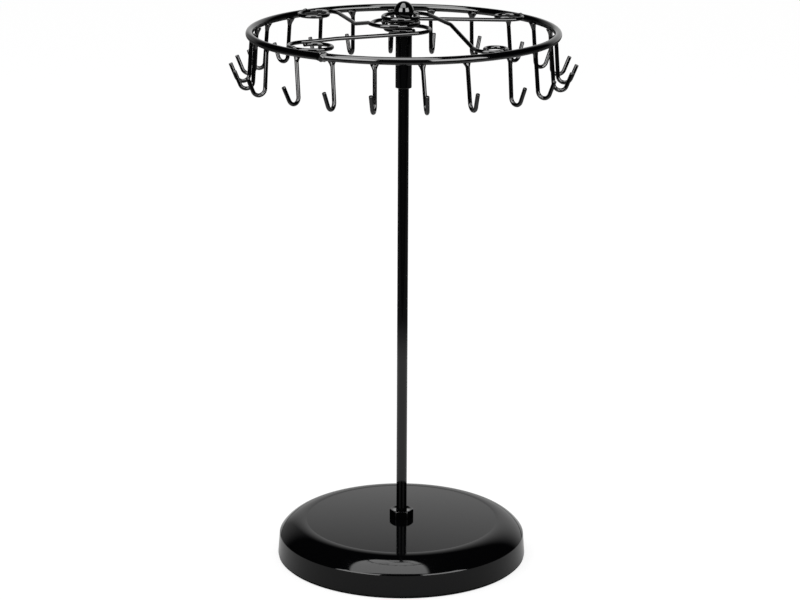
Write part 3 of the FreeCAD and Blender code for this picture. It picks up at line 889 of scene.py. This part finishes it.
# Corners of the overhead panel, from its near left.
OVERHEAD = ((-2.45, -1.80, 2.2), (1.15, -1.85, 2.2), (0.12, 0.77, 2.2), (-0.31, 0.83, 2.2))


def panel(name, corners, strength, edge):
    """Soft four-cornered panel that only reflections see, dimmer within an edge's share.

    Its points are a grid that blends the corners, which are given in order round it.
    """
    count = 17
    steps = np.linspace(0, 1, count)
    across, up = (grid[..., None] for grid in np.meshgrid(steps, steps))
    first, second, third, fourth = np.asarray(corners, float)
    points = ((1 - across) * (1 - up) * first + across * (1 - up) * second
              + across * up * third + (1 - across) * up * fourth)
    numbers = np.arange(count ** 2).reshape(count, count)
    quads = np.stack([numbers[:-1, :-1], numbers[:-1, 1:], numbers[1:, 1:], numbers[1:, :-1]], -1)
    quads = quads.reshape(-1, 4)
    mesh = bpy.data.meshes.new(name)
    mesh.from_pydata(points.reshape(-1, 3).tolist(), [], quads.tolist())
    places = np.concatenate([across, up], -1).reshape(-1, 2)
    mesh.uv_layers.new(name="panel").data.foreach_set("uv", places[quads.ravel()].ravel())
    thing = added(name, mesh)
    for ray in ("camera", "diffuse", "transmission", "shadow", "volume_scatter"):
        setattr(thing, "visible_" + ray, False)
    material = bpy.data.materials.new(name)
    glow = Nodes(material)
    sheet = glow.node("SeparateXYZ", {"Vector": glow.add("UVMap")}).outputs
    falls = [glow.soft_step(glow.math("PINGPONG", sheet[axis], 0.5), 0.0, edge) for axis in "XY"]
    # a reflection of a reflection shows the panel much dimmer
    again = glow.add("MapRange", {
        "Value": glow.add("LightPath", output="Glossy Depth"), "From Min": 1, "From Max": 2,
        "To Min": strength, "To Max": strength * 0.1,
    })
    power = glow.math("MULTIPLY", glow.math("MULTIPLY", *falls), again)
    glow.node("OutputMaterial", {"Surface": glow.add("Emission", {"Strength": power})})
    mesh.materials.append(material)


def studio_panels():
    """A panel overhead and an upright one on each side in front of the stand."""
    stage = settings("stage")
    panel("overhead_panel", OVERHEAD, stage.overhead, edge=0.06)
    low, high = 0.15, 2.8
    for name, side in (("left_panel", -1), ("right_panel", 1)):
        outer, inner = (side * 2.85, -1.54), (side * 1.05, -3.06)
        corners = ((*outer, low), (*inner, low), (*inner, high), (*outer, high))
        panel(name, corners, stage.windows, edge=0.03)


def direction(azimuth, elevation):
    """Unit vector for degrees clockwise from the back and degrees above level."""
    a, e = math.radians(azimuth), math.radians(elevation)
    return (math.sin(a) * math.cos(e), math.cos(a) * math.cos(e), math.sin(e))


def studio_world():
    """White to the camera, plain grey light on surfaces, a lit backdrop in reflections."""
    world = bpy.data.worlds.new("studio")
    bpy.context.scene.world = world
    sky = Nodes(world)
    place = sky.add("TexCoord", output="Generated")
    patches = []
    for azimuth, elevation, inner, outer, value in BACKDROP:
        towards = sky.add("VectorMath", {0: place, 1: direction(azimuth, elevation)}, "Value",
                          operation="DOT_PRODUCT")
        fades, lit = math.cos(math.radians(outer)), math.cos(math.radians(inner))
        patches.append(sky.soft_step(towards, fades, lit, value * settings("stage").backdrop))
    brightness = patches[0]
    for patch in patches[1:]:
        brightness = sky.math("MAXIMUM", brightness, patch)
    reflected = sky.add("Background", {"Strength": brightness})
    seen = sky.add("Background", {"Color": (1.0, 1.0, 1.0, 1.0)})
    ambient = sky.add("Background", {"Strength": 0.8})
    path = sky.node("LightPath").outputs
    on_things = sky.blend(path["Is Glossy Ray"], ambient, reflected)
    sky.node("OutputWorld", {"Surface": sky.blend(path["Is Camera Ray"], on_things, seen)})


def studio_floor():
    """White sheet that ends in front of the stand; the camera sees it near white, and reflections
    see a painted pool of light round the stand.
    """
    stage = settings("stage")
    mesh = bpy.data.meshes.new("floor")
    front, back, side = -0.55, 3.0, 2.5
    mesh.from_pydata([(-side, front, 0), (side, front, 0), (side, back, 0), (-side, back, 0)],
                     [], [(0, 1, 2, 3)])
    material = bpy.data.materials.new("floor_paper")
    nodes = Nodes(material)

    def paper(grey, glow):
        """Matt sheet of that grey, which also glows by itself."""
        matt = nodes.add("BsdfDiffuse", {"Color": (grey, grey, grey, 1)})
        return nodes.add("AddShader", {0: matt, 1: nodes.add("Emission", {"Strength": glow})})

    # painted pool of light: in reflections the paper's grey and glow are bright only near the
    # stand, and dim further out
    place = nodes.add("TexCoord", output="Object")
    distance = nodes.add("VectorMath", {0: place}, "Value", operation="LENGTH")
    painted_pool_fall = nodes.soft_step(distance, stage.pool, stage.pool * 1.4)
    # painted lit paper near the stand, then painted dim paper further out
    near = paper(stage.floor * 0.7, stage.floor * 0.3)
    far = paper(stage.floor * 0.05, stage.floor * 0.08)
    seen = paper(0.30, 0.79)
    by_camera = nodes.add("LightPath", output="Is Camera Ray")
    surface = nodes.blend(by_camera, nodes.blend(painted_pool_fall, near, far), seen)
    nodes.node("OutputMaterial", {"Surface": surface})
    mesh.materials.append(material)
    added("floor", mesh)


def studio_lamp():
    """One broad soft lamp above, which lays the faint shadow round the foot."""
    data = bpy.data.lights.new("soft_lamp", "AREA")
    data.shape = "DISK"
    data.size = 1.6
    data.energy = 9.0
    lamp = added("soft_lamp", data)
    lamp.location = (-0.2, -0.3, 1.7)
    lamp.visible_glossy = False
    target = Vector((0.0, 0.0, 0.1))
    lamp.rotation_euler = (target - lamp.location).to_track_quat("-Z", "Y").to_euler()


def studio_camera():
    """Camera in front of the stand, looking down and turned a little about its sight."""
    stage = settings("stage")
    data = bpy.data.cameras.new("camera")
    data.sensor_width = 36.0
    data.lens = stage.lens
    data.clip_end = 20.0
    camera = added("camera", data)
    upright = (Matrix.Rotation(stage.camera_turn, 4, "Z")
               @ Matrix.Rotation(math.pi / 2 - stage.camera_tilt, 4, "X"))
    rolled = Matrix.Rotation(stage.camera_roll, 4, "Z")
    camera.matrix_world = (Matrix.Translation((0.0, -stage.camera_distance, stage.camera_height))
                           @ upright @ rolled)
    bpy.context.scene.camera = camera


# -------- operators

class Step:
    """Options that the operator of every step has."""
    bl_options = {"REGISTER", "UNDO"}


class NECKLACE_OT_foot(Step, Operator):
    """Make the foot: pressed cover, foam pad, and finishes of the plate and fasteners"""
    bl_idname = "necklace.foot"
    bl_label = "Foot"

    def execute(self, context):
        piece("foot_cover", foot_cover(), "stand", "base_shell", "foot_enamel")
        piece("foot_pad", foot_pad(), "stand", "base_pad", "black_foam")
        for node, finish in (("base_weight", "iron_paint"), ("base_washer", "bright_zinc"),
                             ("lock_nut", "bright_zinc")):
            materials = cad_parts[node].data.materials
            materials.clear()
            materials.append(finish_named(finish))
        return {"FINISHED"}


class NECKLACE_OT_post(Step, Operator):
    """Make the post and the nut that holds it on the foot"""
    bl_idname = "necklace.post"
    bl_label = "Post and nut"

    def execute(self, context):
        piece("post", post_rod(), "stand", "post_rod")
        piece("foot_nut", hexagon_nut(), "stand", "base_nut")
        return {"FINISHED"}


class NECKLACE_OT_hub(Step, Operator):
    """Make the sleeve and the ball that turn on the post"""
    bl_idname = "necklace.hub"
    bl_label = "Sleeve and ball"

    def execute(self, context):
        piece("sleeve", hub_sleeve(), "wheel", "hub_sleeve")
        piece("ball", ball_finial(), "wheel", "ball_finial")
        return {"FINISHED"}


class NECKLACE_OT_ring(Step, Operator):
    """Make the ring with its welded joint"""
    bl_idname = "necklace.ring"
    bl_label = "Ring"

    def execute(self, context):
        piece("wheel_ring", ring_wire(), "wheel", "ring")
        return {"FINISHED"}


class NECKLACE_OT_hooks(Step, Operator):
    """Make the wire hooks"""
    bl_idname = "necklace.hooks"
    bl_label = "Hooks"

    def execute(self, context):
        for index in range(len(HOOK_DRIFT)):
            node = f"hook_{index + 1:02d}"
            piece("wire_" + node, hook_wire(index), "wheel", node)
        return {"FINISHED"}


class NECKLACE_OT_scrolls(Step, Operator):
    """Make the four scrolls between the ring and the hub"""
    bl_idname = "necklace.scrolls"
    bl_label = "Scrolls"

    def execute(self, context):
        for index in range(len(SCROLLS)):
            node = f"scroll_{index + 1}"
            piece("wire_" + node, scroll_wire(index), "wheel", node)
        return {"FINISHED"}


class NECKLACE_OT_welds(Step, Operator):
    """Make the enamelled weld metal at the hooks and the scrolls"""
    bl_idname = "necklace.welds"
    bl_label = "Welds"

    def execute(self, context):
        webs = together([hook_weld(index) for index in range(len(HOOK_DRIFT))])
        piece("hook_weld_metal", webs, "wheel", "hook_welds", "weld_enamel")
        piece("scroll_weld_metal", scroll_welds(), "wheel", "scroll_welds", "weld_enamel")
        return {"FINISHED"}


class NECKLACE_OT_stage(Step, Operator):
    """Make the studio: its world, floor, lamp, camera and panels"""
    bl_idname = "necklace.stage"
    bl_label = "Stage"

    def execute(self, context):
        bpy.context.scene.view_settings.view_transform = "Standard"
        studio_world()
        studio_floor()
        studio_lamp()
        studio_camera()
        studio_panels()
        return {"FINISHED"}


class NECKLACE_PT_stand(Panel):
    """Lists the stand's sizes and the steps that make it"""
    bl_idname = "NECKLACE_PT_stand"
    bl_label = "Necklace Stand"
    bl_space_type = "VIEW_3D"
    bl_region_type = "UI"
    bl_category = "Necklace Stand"

    def draw(self, context):
        for step in STEPS:
            self.layout.operator(step.bl_idname)
        for kind, group in GROUPS.items():
            box = self.layout.box()
            box.label(text=group.__doc__)
            for name in group.__annotations__:
                box.prop(settings(kind), name)


GROUPS = {
    "foot": FootSizes, "post": PostSizes, "ring": RingSizes, "hook": HookSizes,
    "scroll": ScrollSizes, "weld": WeldSizes, "finish": FinishSettings, "stage": StageSettings,
}
STEPS = (NECKLACE_OT_foot, NECKLACE_OT_post, NECKLACE_OT_hub, NECKLACE_OT_ring, NECKLACE_OT_hooks,
         NECKLACE_OT_scrolls, NECKLACE_OT_welds, NECKLACE_OT_stage)
CLASSES = (*GROUPS.values(), *STEPS, NECKLACE_PT_stand)


def register():
    for item in CLASSES:
        bpy.utils.register_class(item)
    for kind, group in GROUPS.items():
        setattr(bpy.types.Scene, "stand_" + kind, PointerProperty(type=group))


def unregister():
    for kind in GROUPS:
        delattr(bpy.types.Scene, "stand_" + kind)
    for item in reversed(CLASSES):
        bpy.utils.unregister_class(item)


def main():
    register()
    for step in STEPS:
        group, name = step.bl_idname.split(".")
        getattr(getattr(bpy.ops, group), name)()


if __name__ == "__main__":
    main()
